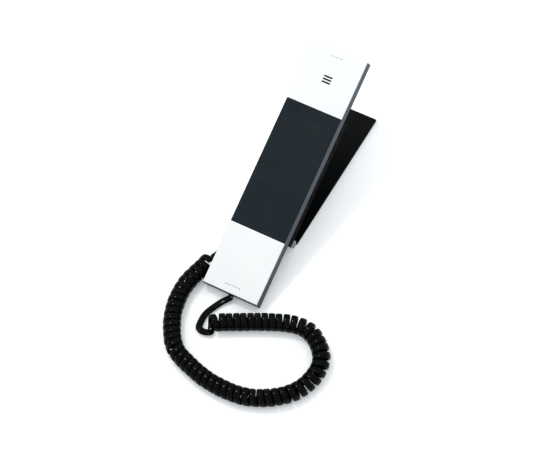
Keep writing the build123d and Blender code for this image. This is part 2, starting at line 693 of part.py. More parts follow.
HINGE_CROSS_DEPTH = 0.4
with BuildPart() as hinge_screws:
    with BuildSketch(FACE.offset(-CRADLE_T - STRAP_T - HEAD_H)):
        with Locations((0, BRACKET_SCREW_ALONG)), GridLocations(BRACKET_SCREWS, 1, 3, 1):
            Circle(COVER_HEAD_R)
    extrude(amount=HEAD_H)
    with BuildSketch(FACE.offset(-CRADLE_T - STRAP_T)):
        with Locations((0, BRACKET_SCREW_ALONG)), GridLocations(BRACKET_SCREWS, 1, 3, 1):
            Circle(SCREW_R)
    extrude(amount=STRAP_T + CRADLE_WALL)
    with BuildSketch(FACE.offset(-CRADLE_T - STRAP_T - HEAD_H)):
        with Locations((0, BRACKET_SCREW_ALONG)), GridLocations(BRACKET_SCREWS, 1, 3, 1):
            Rectangle(*CROSS)
            Rectangle(CROSS[1], CROSS[0])
    extrude(amount=HINGE_CROSS_DEPTH, mode=Mode.SUBTRACT)
write(hinge_screws, "hinge_screws")

PIN_INSET = 0.4
PIN_CHAMFER = 0.3
with BuildPart() as hinge_pin:
    with BuildSketch(SIDE.offset(PIN_INSET - BASE_W / 2)):
        with Locations((AXIS_ALONG, AXIS_OUT)):
            Circle(PIN_R)
    extrude(amount=BASE_W - 2 * PIN_INSET)
    chamfer(hinge_pin.faces().filter_by(Axis.X).edges(), PIN_CHAMFER)
write(hinge_pin, "hinge_pin")

# ---- Wall plate, level on its feet ----
PLATE_MID_Y = LOW_END_Y + (PLATE_START + PLATE_END) / 2
PLATE_L = PLATE_END - PLATE_START
PLATE_R = 0.5
WALL_SLOT_PITCH = 98.4
WALL_SLOT_L = 9.0
WALL_SLOT_W = 4.4
GUSSET_L = 10.0

with BuildPart() as wall_plate:
    with BuildSketch(Plane.XY.offset(FOOT_T)):
        with Locations((0, PLATE_MID_Y)):
            RectangleRounded(BASE_W, PLATE_L, PLATE_R)
            with GridLocations(1, WALL_SLOT_PITCH, 1, 2):
                SlotOverall(WALL_SLOT_L, WALL_SLOT_W, rotation=90, mode=Mode.SUBTRACT)
    extrude(amount=PLATE_T)
    for side in (-1, 1):
        knuckle_plane = Plane(
            origin=(side * KNUCKLE_ACROSS - KNUCKLE_W / 2, AXIS.Y, AXIS.Z),
            x_dir=(0, 1, 0),
            z_dir=(1, 0, 0),
        )
        foot = FOOT_T - AXIS.Z
        with BuildSketch(knuckle_plane):
            Circle(BARREL_R)
            with BuildLine():
                Polyline(
                    (0, 0),
                    (0, foot),
                    (GUSSET_L, foot),
                    (GUSSET_L, foot + PLATE_T),
                    (BARREL_R, 0),
                    close=True,
                )
            make_face()
            Circle(PIN_R + CLEAR, mode=Mode.SUBTRACT)
        extrude(amount=KNUCKLE_W)
write(wall_plate, "wall_plate")

FOOT_R = 5.0
FEET_ACROSS = 32.0
FEET_FROM_END = 10.0
with BuildPart() as plate_feet:
    with BuildSketch(Plane.XY):
        with Locations((0, PLATE_MID_Y)), GridLocations(FEET_ACROSS, PLATE_L - 2 * FEET_FROM_END, 2, 2):
            Circle(FOOT_R)
    extrude(amount=FOOT_T)
write(plate_feet, "plate_feet")

# ---- Curly cord: its route, from the grommet round the table to the cradle ----
COIL_R = COIL_D / 2
COIL_Z = COIL_R + CLEAR
ARC_SHARE = 0.45
CORD_GAP = 0.3
EXIT_RUN = 3.8
PLUG_RUN = 6.0
CORD_EXIT = place(0, -GROMMET_TIP - CORD_GAP, CORD_OUT)
PLUG_REAR = place(CORD_JACK[0], GRIP_START - PLUG_OUT, JACK_MID)

ROUTE = [
    CORD_EXIT,
    CORD_EXIT - ALONG * EXIT_RUN,
    Vector(-4.6, -109.1, 2.4),
    Vector(-9.4, -117.4, 2.0),
    Vector(-12.8, -126.1, 2.0),
    Vector(-12.9, -134.7, 2.2),
    Vector(-8.6, -141.9, 2.6),
    Vector(-2.2, -142.7, 4.6),
    Vector(-0.6, -136.1, COIL_Z),
    Vector(5.2, -128.1, COIL_Z),
    Vector(20.0, -121.4, COIL_Z),
    Vector(39.0, -111.9, COIL_Z),
    Vector(60.2, -102.7, COIL_Z),
    Vector(77.9, -102.7, COIL_Z),
    Vector(94.2, -114.9, COIL_Z),
    Vector(100.2, -126.8, COIL_Z),
    Vector(99.9, -142.7, COIL_Z),
    Vector(93.0, -158.5, COIL_Z),
    Vector(76.0, -172.6, COIL_Z),
    Vector(55.1, -180.7, COIL_Z),
    Vector(25.1, -180.7, COIL_Z),
    Vector(-2.5, -172.9, COIL_Z),
    Vector(-17.9, -165.5, COIL_Z),
    Vector(-31.6, -145.2, COIL_Z),
    Vector(-37.2, -128.5, COIL_Z),
    Vector(-39.0, -114.0, COIL_Z),
    Vector(-37.2, -101.0, COIL_Z),
    Vector(-33.9, -90.5, COIL_Z),
    Vector(-33.4, -81.5, COIL_Z),
    Vector(-32.6, -75.0, 8.6),
    Vector(-29.5, -69.0, 9.6),
    Vector(-23.0, -65.7, 10.6),
    Vector(-16.0, -63.0, 11.2),
    PLUG_REAR - ALONG * PLUG_RUN,
    PLUG_REAR,
]
COIL_STARTS = 8               # the runs on which the coil starts, changes piece and ends
COIL_JOINS = 12
COIL_ENDS = 27


def arc_radius(before, corner, after):
    """The largest arc that its two runs allow at a corner of the route."""
    turn = (corner - before).get_angle(after - corner)
    shorter = min((corner - before).length, (after - corner).length)
    return ARC_SHARE * shorter / math.tan(math.radians(turn) / 2)


RADII = [arc_radius(*corner) for corner in zip(ROUTE, ROUTE[1:], ROUTE[2:])]
print("cord radii, mm:", [round(radius, 1) for radius in RADII])


def middle(run):
    """The middle of one run of the route, where one piece of the cord ends."""
    return (ROUTE[run] + ROUTE[run + 1]) / 2


def cord_piece(name, start, first, last, end, section_r):
    """One stretch of cord: a tube from start, past corners first to last, to end."""
    points = [start, *ROUTE[first:last + 1], end]
    with BuildPart() as tube:
        with BuildLine() as line:
            FilletPolyline(*points, radius=RADII[first - 1:last])
        with BuildSketch(Plane(origin=line.wire() @ 0, z_dir=line.wire() % 0)):
            Circle(section_r)
        sweep(path=line.wire())
    ideal = math.pi * section_r**2 * line.wire().length
    print(name, "length", round(line.wire().length, 1))
    print(name, "volume over ideal", round(tube.part.volume / ideal, 4))
    write(tube, name)


WIRE_R = WIRE_D / 2
STARTS = middle(COIL_STARTS)
JOINS = middle(COIL_JOINS)
ENDS = middle(COIL_ENDS)
cord_piece("handset_cord_tail", ROUTE[0], 1, COIL_STARTS, STARTS, WIRE_R)
cord_piece("handset_cord_coil_near", STARTS, COIL_STARTS + 1, COIL_JOINS, JOINS, COIL_R)
cord_piece("handset_cord_coil_far", JOINS, COIL_JOINS + 1, COIL_ENDS, ENDS, COIL_R)
cord_piece("base_cord_tail", ENDS, COIL_ENDS + 1, len(ROUTE) - 2, ROUTE[-1], WIRE_R)

# ---- Modular plug on the cord's cradle end, with its latch ----
PLUG_BACK = JACK_MID - PLUG_H / 2
LATCH_W = 3.2
LATCH_T = 0.5
LATCH_LIFT = 1.6
LATCH_TIP = GRIP_START - PLUG_OUT + 1
LATCH_ROOT = GRIP_START - 1
LATCH_END = GRIP_START - 0.2
LATCH_END_T = 0.1
with BuildPart() as cord_plug:
    with BuildSketch(Plane(origin=PLUG_REAR, x_dir=(1, 0, 0), z_dir=ALONG)):
        Rectangle(PLUG_W, PLUG_H)
    extrude(amount=PLUG_OUT + PLUG_IN)
    with BuildSketch(SIDE.offset(CORD_JACK[0] - LATCH_W / 2)):
        with BuildLine():
            Polyline(
                (LATCH_TIP, PLUG_BACK - LATCH_LIFT),
                (LATCH_TIP, PLUG_BACK - LATCH_LIFT + LATCH_T),
                (LATCH_ROOT, PLUG_BACK),
                (LATCH_END, PLUG_BACK),
                (LATCH_END, PLUG_BACK - LATCH_END_T),
                close=True,
            )
        make_face()
    extrude(amount=LATCH_W)
write(cord_plug, "handset_cord_plug")
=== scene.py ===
"""Looks for the slimline telephone: its coiled cord, its finishes, and a plain studio.

Everything is in metres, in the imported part's own frame. The leaning axes run along the
handset, from its lower end to its ear end, and out of its outer face.
"""

import json
import math

import bmesh
import bpy
from mathutils import Matrix, Vector


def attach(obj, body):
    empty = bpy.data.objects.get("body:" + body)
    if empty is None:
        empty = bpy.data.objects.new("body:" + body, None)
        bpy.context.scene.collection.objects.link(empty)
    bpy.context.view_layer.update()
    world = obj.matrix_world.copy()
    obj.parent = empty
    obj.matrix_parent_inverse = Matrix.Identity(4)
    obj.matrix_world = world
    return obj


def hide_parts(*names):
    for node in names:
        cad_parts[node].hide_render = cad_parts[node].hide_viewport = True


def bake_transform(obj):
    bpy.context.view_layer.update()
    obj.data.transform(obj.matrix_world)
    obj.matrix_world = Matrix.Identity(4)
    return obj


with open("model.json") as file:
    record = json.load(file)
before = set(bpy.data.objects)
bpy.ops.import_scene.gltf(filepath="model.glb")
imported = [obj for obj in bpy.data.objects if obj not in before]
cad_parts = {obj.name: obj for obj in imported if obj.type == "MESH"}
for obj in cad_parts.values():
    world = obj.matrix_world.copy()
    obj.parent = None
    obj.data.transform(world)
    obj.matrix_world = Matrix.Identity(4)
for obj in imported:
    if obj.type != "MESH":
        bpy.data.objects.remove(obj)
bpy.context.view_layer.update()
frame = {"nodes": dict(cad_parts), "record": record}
NODES = frame["nodes"]
MM = 0.001

# ---- The object's leaning axes, as in the part ----
LEAN = math.radians(22.5)
LENGTH = 220.0
THICK = 10.2
ACROSS = Vector((1, 0, 0))
ALONG = Vector((0, math.cos(LEAN), math.sin(LEAN)))
OUT = Vector((0, -math.sin(LEAN), math.cos(LEAN)))
UP = Vector((0, 0, 1))
LOW_END = Vector((0, -(LENGTH * math.cos(LEAN) - THICK * math.sin(LEAN)) / 2, 1.5)) * MM


def place(across, along, out):
    """The point at a place given in millimetres along the leaning axes."""
    return LOW_END + (ACROSS * across + ALONG * along + OUT * out) * MM


def link(name, data):
    """A new object in the scene."""
    made = bpy.data.objects.new(name, data)
    bpy.context.scene.collection.objects.link(made)
    return made


# ---- Camera ----
CAMERA_AT = Vector((0.8712, -1.0196, 2.1562))
CAMERA_LOOKS_AT = Vector((-0.0071, -0.0268, 0.0))
CAMERA_ROLL = math.radians(-13.2)
CAMERA_LENS = 201.7


def make_camera():
    """The camera, rolled about its own line of sight."""
    data = bpy.data.cameras.new("camera")
    data.lens = CAMERA_LENS
    data.clip_end = 50
    camera = link("camera", data)
    look = (CAMERA_LOOKS_AT - CAMERA_AT).to_track_quat("-Z", "Y").to_matrix().to_4x4()
    roll = Matrix.Rotation(CAMERA_ROLL, 4, "Z")
    camera.matrix_world = Matrix.Translation(CAMERA_AT) @ look @ roll
    bpy.context.scene.camera = camera


make_camera()

# ---- The cord's route, repeated from the part and moved a little at its two ends ----
CORD_EXIT = place(0, -1.8, 3.75)
PLUG_REAR = place(-10.8, 47.0, -6.2)
COIL_Z = 7.7                  # height of the coil's axis over the table
EXIT_RUN = 1.2                # how far the cord goes straight on from the handset
PLUG_RUN = 6.0                # and straight into the plug
ROUTE = [
    CORD_EXIT,
    CORD_EXIT - ALONG * EXIT_RUN * MM,
    Vector((-4.3, -108.2, 2.6)) * MM,
    Vector((-9.2, -117.8, 2.1)) * MM,
    Vector((-11.9, -125.6, 2.0)) * MM,
    Vector((-11.2, -133.8, 2.2)) * MM,
    Vector((-10.0, -139.4, 2.3)) * MM,
    Vector((-5.4, -139.9, 2.8)) * MM,
    Vector((-2.6, -135.4, 5.6)) * MM,
    Vector((1.2, -131.5, COIL_Z)) * MM,
    Vector((6.8, -128.4, COIL_Z)) * MM,
    Vector((20.0, -121.4, COIL_Z)) * MM,
    Vector((39.0, -111.9, COIL_Z)) * MM,
    Vector((60.2, -102.7, COIL_Z)) * MM,
    Vector((77.9, -102.7, COIL_Z)) * MM,
    Vector((94.2, -114.9, COIL_Z)) * MM,
    Vector((100.2, -126.8, COIL_Z)) * MM,
    Vector((99.9, -142.7, COIL_Z)) * MM,
    Vector((93.0, -158.5, COIL_Z)) * MM,
    Vector((76.0, -172.6, COIL_Z)) * MM,
    Vector((55.1, -180.7, COIL_Z)) * MM,
    Vector((25.1, -180.7, COIL_Z)) * MM,
    Vector((-2.5, -172.9, COIL_Z)) * MM,
    Vector((-17.9, -165.5, COIL_Z)) * MM,
    Vector((-31.6, -145.2, COIL_Z)) * MM,
    Vector((-37.2, -128.5, COIL_Z)) * MM,
    Vector((-39.0, -114.0, COIL_Z)) * MM,
    Vector((-37.2, -101.0, COIL_Z)) * MM,
    Vector((-33.9, -90.5, COIL_Z)) * MM,
    Vector((-32.8, -84.3, COIL_Z)) * MM,
    Vector((-31.0, -77.3, 8.8)) * MM,
    Vector((-28.3, -71.6, 10.5)) * MM,
    Vector((-23.0, -67.2, 11.0)) * MM,
    Vector((-16.0, -63.6, 11.2)) * MM,
    PLUG_REAR - ALONG * PLUG_RUN * MM,
    PLUG_REAR,
]
U_TURN = 6                    # the route's point where the turns begin to open
JOIN = 13                     # the run on which one piece of the cord hands over to the next
CLOSING = 29                  # the route's point near which the last turn is made

WIRE_W = 5.5 * MM             # the flat wire's width, along the coil
WIRE_T = 2.5 * MM
CROWN = 3.0                   # how square the section is: 2 is an ellipse
GROOVE = 0.09 * MM            # depth of the hollows between the wire's four cores
CORES = 4
TURN_R = 7.55 * MM - WIRE_T / 2
PITCH_NEAR = 5.83 * MM        # the turns lie closer by the handset than by the cradle
PITCH_FAR = 6.11 * MM
CROWDED = 1.02                # least pitch inside a bend, in wire widths
OPENING = 13 * MM             # centreline over which the wire leaves the axis for its first turn
TURNING = 3.5 * MM            # the last of that, where it starts to go round; also the first of
                              # the way out, where it twists off the coil
AHEAD = 3 * MM                # where the first turn takes its direction from, past its start
LEAVING = 7 * MM              # centreline over which the wire comes back after its last turn
FIRST_TURNED = math.radians(-160)             # low, on the right: the way in
LAST_TURNED = math.radians(115)               # high, on the right: the way out
STEPS_PER_TURN = 30
STRAIGHT_STEP = 0.5 * MM
OPENING_STEP = 0.18 * MM
FLOOR_GAP = 0.1 * MM          # least height of the wire over the table
FACE_STEPS = 12               # steps across each face of the wire, closer together at its edges
WANDER = ((0.012, 0.31, 0.4), (0.008, 0.83, 2.1))     # uneven turns: share, rate and phase
SIDEWAYS = ((0.05, 0.43, 1.3), (0.035, 0.97, 0.2))


def route_line(route):
    """The route's NURBS spline as closely spaced points."""
    data = bpy.data.curves.new("route", "CURVE")
    data.dimensions = "3D"
    data.resolution_u = 48
    spline = data.splines.new("NURBS")
    spline.points.add(len(route) - 1)
    for point, at in zip(spline.points, route):
        point.co = (*at, 1)
    spline.order_u = 3
    spline.use_endpoint_u = True
    bare = bpy.data.objects.new("route", data)
    mesh = bpy.data.meshes.new_from_object(bare)
    points = [vertex.co.copy() for vertex in mesh.vertices]
    bpy.data.objects.remove(bare)
    bpy.data.curves.remove(data)
    bpy.data.meshes.remove(mesh)
    return points


class Line:
    """A polyline that can be read by its arc length."""

    def __init__(self, points):
        self.points = points
        self.at = [0.0]
        for a, b in zip(points, points[1:]):
            self.at.append(self.at[-1] + (b - a).length)
        self.length = self.at[-1]

    def point(self, s):
        s = min(max(s, 0.0), self.length)
        low, high = 0, len(self.at) - 1
        while high - low > 1:
            middle = (low + high) // 2
            if self.at[middle] <= s:
                low = middle
            else:
                high = middle
        share = (s - self.at[low]) / max(self.at[high] - self.at[low], 1e-12)
        return self.points[low].lerp(self.points[high], share)

    def tangent(self, s, reach=0.6 * MM):
        return (self.point(s + reach) - self.point(s - reach)).normalized()

    def bend(self, s, reach=4 * MM):
        """How sharply the line turns at s, in radians for each metre."""
        return (self.tangent(s + reach) - self.tangent(s - reach)).length / (2 * reach)

    def nearest(self, target):
        best = min(range(len(self.points)), key=lambda i: (self.points[i] - target).length)
        return self.at[best]


def smooth(low, high, value):
    """From 0 at low to 1 at high, level at both ends."""
    share = min(max((value - low) / (high - low), 0.0), 1.0)
    return share * share * (3 - 2 * share)


def waver(waves, turned):
    """A small uneven share that changes slowly from turn to turn."""
    return sum(share * math.sin(turned * rate + phase) for share, rate, phase in waves)


def pitch_at(line, s, share):
    """How far one turn carries the wire along the coil, wider where a bend crowds its inside."""
    pitch = PITCH_NEAR + (PITCH_FAR - PITCH_NEAR) * share
    return max(pitch, CROWDED * WIRE_W / max(1 - TURN_R * line.bend(s), 0.5))


def level_at(line, s):
    """The coil's axis at one place, laid level."""
    tangent = line.tangent(s, 2 * MM)
    return Vector((tangent.x, tangent.y, 0)).normalized()


def wire_centres(line, opens, last_turn):
    """Points down the wire's middle: (place on the route, point, coil's axis, how far on it)."""
    turned = FIRST_TURNED
    open_at = opens + OPENING
    leaves = line.length
    s = 0.0
    samples = []
    while s < line.length - STRAIGHT_STEP / 2:
        coiled = 1 - smooth(leaves, leaves + LEAVING, s)
        opened = smooth(opens, open_at, s) * coiled
        laid = smooth(open_at - TURNING / 2, open_at, s)
        laid *= 1 - smooth(leaves, leaves + TURNING, s)
        radius = TURN_R * opened * (1 + waver(WANDER, turned))
        level = level_at(line, min(max(s, open_at + AHEAD), leaves))
        left = UP.cross(level)
        centre = line.point(s) + left * (radius * math.cos(turned)) + UP * (radius * math.sin(turned))
        samples.append((s, centre, level, laid))
        if open_at <= s < leaves:
            pitch = pitch_at(line, s, (s - open_at) / (last_turn - open_at))
            s += pitch / STEPS_PER_TURN * (1 + waver(SIDEWAYS, turned))
            turned += math.tau / STEPS_PER_TURN
            over = (turned - LAST_TURNED) % math.tau
            if s >= last_turn and over < math.tau / STEPS_PER_TURN:
                leaves = s
        else:
            if s < open_at:
                turned += math.tau / STEPS_PER_TURN * smooth(open_at - TURNING, open_at, s)
            s += OPENING_STEP if opens <= s < leaves + LEAVING else STRAIGHT_STEP
    samples.append((line.length, line.point(line.length), samples[-1][2], 0.0))
    return samples, leaves


def wire_rings(line):
    """The flat wire along its whole way: (centre, tangent, width direction, place)."""
    opens = line.nearest(ROUTE[U_TURN])
    samples, leaves = wire_centres(line, opens, line.nearest(ROUTE[CLOSING]))
    rings = []
    for i, (s, centre, level, laid) in enumerate(samples):
        before = samples[max(i - 1, 0)][1]
        after = samples[min(i + 1, len(samples) - 1)][1]
        tangent = (after - before).normalized()
        if s < leaves:
            loose = tangent.cross(UP)
        else:
            loose = OUT.lerp(ACROSS, smooth(leaves + LEAVING, line.length, s))
        width = loose.normalized().lerp(level, laid)
        width = (width - tangent * width.dot(tangent)).normalized()
        thick = tangent.cross(width)
        reach = (abs(width.z) * WIRE_W + abs(thick.z) * WIRE_T) / 2
        rest_z = max(centre.z, reach + FLOOR_GAP)
        rings.append((Vector((centre.x, centre.y, rest_z)), tangent, width, s))
    return rings


def wire_section():
    """The wire's flat, crowned section with shallow grooves: (across it, through it)."""
    points = []
    for face in (1, -1):
        for step in range(FACE_STEPS):
            across = math.sin(math.pi / 2 * (1 - 2 * step / FACE_STEPS))
            height = (1 - abs(across) ** CROWN) ** (1 / CROWN)
            hollow = GROOVE * height * (1 + math.cos(math.tau * CORES * (across + 1) / 2)) / 2
            points.append((face * across * WIRE_W / 2, face * (height * WIRE_T / 2 - hollow)))
    return points


def mesh_piece(name, mesh):
    """A smooth-shaded object from a finished bmesh."""
    bmesh.ops.recalc_face_normals(mesh, faces=mesh.faces)
    data = bpy.data.meshes.new(name)
    mesh.to_mesh(data)
    mesh.free()
    for face in data.polygons:
        face.use_smooth = True
    return link(name, data)


def wire_piece(name, rings):
    """A closed mesh of the flat wire through some rings."""
    section = wire_section()
    mesh = bmesh.new()
    loops = []
    for centre, tangent, width, _ in rings:
        thick = tangent.cross(width).normalized()
        loops.append([mesh.verts.new(centre + width * a + thick * b) for a, b in section])
    for first, second in zip(loops, loops[1:]):
        for i in range(len(section)):
            j = (i + 1) % len(section)
            mesh.faces.new((first[i], first[j], second[j], second[i]))
    mesh.faces.new(list(reversed(loops[0])))
    mesh.faces.new(loops[-1])
    return mesh_piece(name, mesh)


def make_cord():
    """The cord in two pieces: the far one is attached to the cradle, the near one stays where it lies.
    """
    line = Line(route_line(ROUTE))
    rings = wire_rings(line)
    joins = line.nearest((ROUTE[JOIN] + ROUTE[JOIN + 1]) / 2)
    split = next(i for i, ring in enumerate(rings) if ring[3] >= joins)
    near_rings, far_rings = rings[:split + 1], rings[split:]
    near_cord = wire_piece("cord_near_handset", near_rings)
    far_cord = wire_piece("cord_to_cradle", far_rings)
    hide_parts("handset_cord_tail", "handset_cord_coil_near")
    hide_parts("handset_cord_coil_far", "base_cord_tail")
    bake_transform(near_cord)
    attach(far_cord, "cradle")
    for piece in (near_cord, far_cord):
        piece.data.materials.append(FINISHES["cord"])


# ---- Finishes ----
FINISHES = {}


class Finish:
    """One procedural material. Its patterns follow the leaning axes, with sizes in millimetres."""

    def __init__(self, slot, colour, roughness, metallic=0.0, specular=0.5):
        self.material = bpy.data.materials.new(slot)
        self.material.use_nodes = True
        self.tree = self.material.node_tree
        self.shader = self.tree.nodes["Principled BSDF"]
        self.set("Base Color", (*colour, 1))
        self.set("Roughness", roughness)
        self.set("Metallic", metallic)
        self.set("Specular IOR Level", specular)
        self.own_space = self.node("ShaderNodeTexCoord").outputs["Object"]
        FINISHES[slot] = self.material

    def set(self, socket, value):
        self.shader.inputs[socket].default_value = value

    def node(self, kind, settings=None, inputs=None):
        """A new node with some of its settings, and its inputs linked or set."""
        made = self.tree.nodes.new(kind)
        for name, value in (settings or {}).items():
            setattr(made, name, value)
        for name, value in (inputs or {}).items():
            if isinstance(value, bpy.types.NodeSocket):
                self.tree.links.new(value, made.inputs[name])
            else:
                made.inputs[name].default_value = value
        return made

    def space(self, size):
        """The object's own space along the leaning axes, in cells of one size or of three."""
        sizes = size if isinstance(size, tuple) else (size, size, size)
        return self.node(
            "ShaderNodeMapping", {"vector_type": "TEXTURE"},
            {"Vector": self.own_space, "Rotation": (LEAN, 0, 0), "Scale": [one * MM for one in sizes]},
        ).outputs[0]

    def noise(self, size, detail=2.0):
        inputs = {"Vector": self.space(size), "Scale": 1.0, "Detail": detail}
        return self.node("ShaderNodeTexNoise", None, inputs).outputs[0]

    def cells(self, size, crease):
        """Raised cells with creases between them: 0 in a crease, 1 on a cell."""
        settings = {"feature": "DISTANCE_TO_EDGE"}
        inputs = {"Vector": self.space(size), "Scale": 1.0, "Randomness": 0.85}
        edge = self.node("ShaderNodeTexVoronoi", settings, inputs).outputs["Distance"]
        return self.spread(edge, 0.0, crease, 0.0, 1.0)

    def weave(self, size):
        """Two crossed sets of threads."""
        threads = []
        for direction in ("X", "Y"):
            settings = {"wave_type": "BANDS", "bands_direction": direction}
            inputs = {"Vector": self.space(size), "Scale": 1.0}
            threads.append(self.node("ShaderNodeTexWave", settings, inputs).outputs["Fac"])
        crossed = self.node("ShaderNodeMath", {"operation": "MULTIPLY"}, dict(enumerate(threads)))
        return crossed.outputs[0]

    def edges(self, radius, highlight_from=0.0, highlight_to=0.25):
        """1 along the object's sharp edges, fading over a radius: the mask of a painted edge
        highlight.
        """
        rounded = self.node("ShaderNodeBevel", {"samples": 4}, {"Radius": radius * MM}).outputs[0]
        true = self.node("ShaderNodeNewGeometry").outputs["Normal"]
        dot = self.node("ShaderNodeVectorMath", {"operation": "DOT_PRODUCT"}, {0: rounded, 1: true})
        return self.spread(dot.outputs["Value"], 1.0 - highlight_from, 1.0 - highlight_to, 0.0, 1.0)

    def spread(self, value, low, high, to_low, to_high):
        ends = {"From Min": low, "From Max": high, "To Min": to_low, "To Max": to_high}
        return self.node("ShaderNodeMapRange", None, {"Value": value, **ends}).outputs[0]

    def colour(self, share, low, high, between=(0.35, 0.65)):
        """The base colour, from low to high as a pattern goes between two values."""
        factor = self.spread(share, *between, 0.0, 1.0)
        mix = self.node(
            "ShaderNodeMix", {"data_type": "RGBA"}, {0: factor, 6: (*low, 1), 7: (*high, 1)}
        )
        self.tree.links.new(mix.outputs[2], self.shader.inputs["Base Color"])

    def roughness(self, share, low, high, between=(0.3, 0.7)):
        value = self.spread(share, *between, low, high)
        self.tree.links.new(value, self.shader.inputs["Roughness"])

    def bumps(self, *heights):
        """Bumps one on another, each a pattern and its depth."""
        normal = None
        for pattern, depth in heights:
            inputs = {"Height": pattern, "Distance": depth * MM, "Strength": 1.0}
            if normal:
                inputs["Normal"] = normal
            normal = self.node("ShaderNodeBump", None, inputs).outputs[0]
        self.tree.links.new(normal, self.shader.inputs["Normal"])


def white_plastic():
    """Satin white covers: a very fine moulded texture and a faint drift in tone."""
    f = Finish("white_cover", (0.80, 0.81, 0.81), 0.36)
    f.colour(f.noise(28), (0.785, 0.800, 0.800), (0.812, 0.822, 0.820))
    f.roughness(f.noise(9, 3), 0.33, 0.42)
    f.bumps((f.noise(0.5, 3), 0.006), (f.noise(40), 0.05))


def leather_grip():
    """Soft-touch grip with a fine pebbled grain, a little polished where it is held."""
    f = Finish("grip", (0.010, 0.021, 0.028), 0.55, specular=0.42)
    grain = f.cells(1.15, 0.30)
    f.colour(grain, (0.003, 0.009, 0.013), (0.011, 0.026, 0.036), (0.0, 1.0))
    f.roughness(f.noise(22, 3), 0.44, 0.58)
    f.bumps((grain, 0.07), (f.noise(0.45, 3), 0.03))


def grey_band():
    """Satin grey side band, drawn lengthwise."""
    f = Finish("band", (0.061, 0.073, 0.096), 0.4)
    drawn = f.noise((0.25, 18, 0.25), 3)
    f.colour(drawn, (0.055, 0.066, 0.087), (0.069, 0.082, 0.107))
    f.roughness(drawn, 0.34, 0.48)
    f.bumps((drawn, 0.008), (f.noise(0.35, 2), 0.006))


def black_plastic(slot, grain, depth, colour, specular, edge_highlight_colour):
    """Black moulded plastic with a spark-eroded grain, and a painted highlight along its sharp edges.
    """
    f = Finish(slot, colour, 0.5, specular=specular)
    # Painted highlight: the colour turns lighter along the sharp edges, standing in for light caught
    # on their rounding.
    f.colour(f.edges(0.6), colour, edge_highlight_colour, (0.0, 1.0))
    f.roughness(f.noise(7, 3), 0.42, 0.58)
    f.bumps((f.noise(grain, 3), depth), (f.noise(25), 0.04))


def key_plastic(slot, colour, roughness):
    """Keys: smooth, with a soft polish in the middle of the strokes they get."""
    f = Finish(slot, colour, roughness)
    f.colour(f.noise(6), tuple(one * 0.96 for one in colour), colour)
    f.roughness(f.noise(2.5, 3), roughness * 0.85, roughness * 1.3)
    f.bumps((f.noise(0.6, 2), 0.006))


def silicone():
    """Matte silicone mat, with a slight milky clouding."""
    f = Finish("mat", (0.33, 0.34, 0.36), 0.62)
    f.colour(f.noise(5, 3), (0.29, 0.30, 0.32), (0.36, 0.37, 0.39))
    f.roughness(f.noise(1.2, 3), 0.55, 0.72)
    f.bumps((f.noise(0.4, 2), 0.01))


def circuit_board():
    """Green lacquered board with raised tracks."""
    f = Finish("board", (0.02, 0.16, 0.07), 0.35)
    tracks = f.cells((2.2, 3.4, 2.2), 0.12)
    f.colour(tracks, (0.05, 0.30, 0.12), (0.015, 0.13, 0.055), (0.0, 1.0))
    f.roughness(f.noise(3, 3), 0.28, 0.42)
    f.bumps((tracks, -0.035))


def metal(slot, colour, low, high, size, depth, specks=6.0):
    """Bare metal, brushed or turned along one direction."""
    f = Finish(slot, colour, (low + high) / 2, metallic=1.0)
    brushed = f.noise(size, 4)
    f.colour(f.noise(specks, 3), tuple(one * 0.86 for one in colour), colour)
    f.roughness(brushed, low, high)
    f.bumps((brushed, depth))


def acoustic_cloth():
    """Fine black cloth behind the sound slots."""
    f = Finish("cloth", (0.02, 0.02, 0.022), 0.9, specular=0.2)
    threads = f.weave((2.4, 2.4, 2.4))
    f.colour(threads, (0.006, 0.006, 0.007), (0.035, 0.035, 0.038), (0.0, 0.8))
    f.roughness(f.noise(0.5, 3), 0.82, 0.97)
    f.bumps((threads, 0.08))
    f.set("Sheen Weight", 0.3)


def rubber():
    """Matte black rubber with a dusty bloom."""
    f = Finish("rubber", (0.012, 0.012, 0.013), 0.75, specular=0.3)
    f.colour(f.noise(3.5, 4), (0.008, 0.008, 0.009), (0.020, 0.020, 0.021))
    f.roughness(f.noise(1.5, 3), 0.66, 0.86)
    f.bumps((f.noise(0.3, 3), 0.02))


def painted_plate():
    """Satin black paint on steel sheet: orange peel, and a painted highlight along its sharp edges."""
    f = Finish("plate", (0.006, 0.007, 0.008), 0.42, specular=0.26)
    # Painted highlight: the paint turns lighter grey along the sharp edges, standing in for light
    # caught on them.
    edge_highlight_mask = f.edges(0.35)
    f.colour(edge_highlight_mask, (0.004, 0.005, 0.006), (0.07, 0.075, 0.08), (0.15, 1.0))
    f.roughness(f.noise(10, 3), 0.36, 0.50)
    f.bumps((f.noise(1.4, 3), 0.018))


def cord_plastic():
    """Glossy black cord jacket with a faint unevenness."""
    f = Finish("cord", (0.0014, 0.0018, 0.0024), 0.13, specular=0.22)
    f.colour(f.noise(4, 2), (0.0008, 0.0011, 0.0016), (0.0020, 0.0025, 0.0032))
    f.roughness(f.noise(2.2, 3), 0.09, 0.17)
    f.bumps((f.noise(0.8, 2), 0.02))


def clear_plug():
    """Clear moulded plug."""
    f = Finish("plug", (0.93, 0.95, 0.96), 0.08)
    f.set("Transmission Weight", 0.85)
    f.set("IOR", 1.49)
    f.roughness(f.noise(1.4, 3), 0.05, 0.16)
    f.bumps((f.noise(0.9, 2), 0.01))


def printed_ink(slot, colour):
    """Ink for the legends, a little uneven."""
    f = Finish(slot, colour, 0.55)
    f.colour(f.noise(0.5, 3), tuple(one * 0.75 for one in colour), colour)
    f.roughness(f.noise(0.9, 3), 0.48, 0.62)
    f.bumps((f.noise(0.2, 2), 0.004))


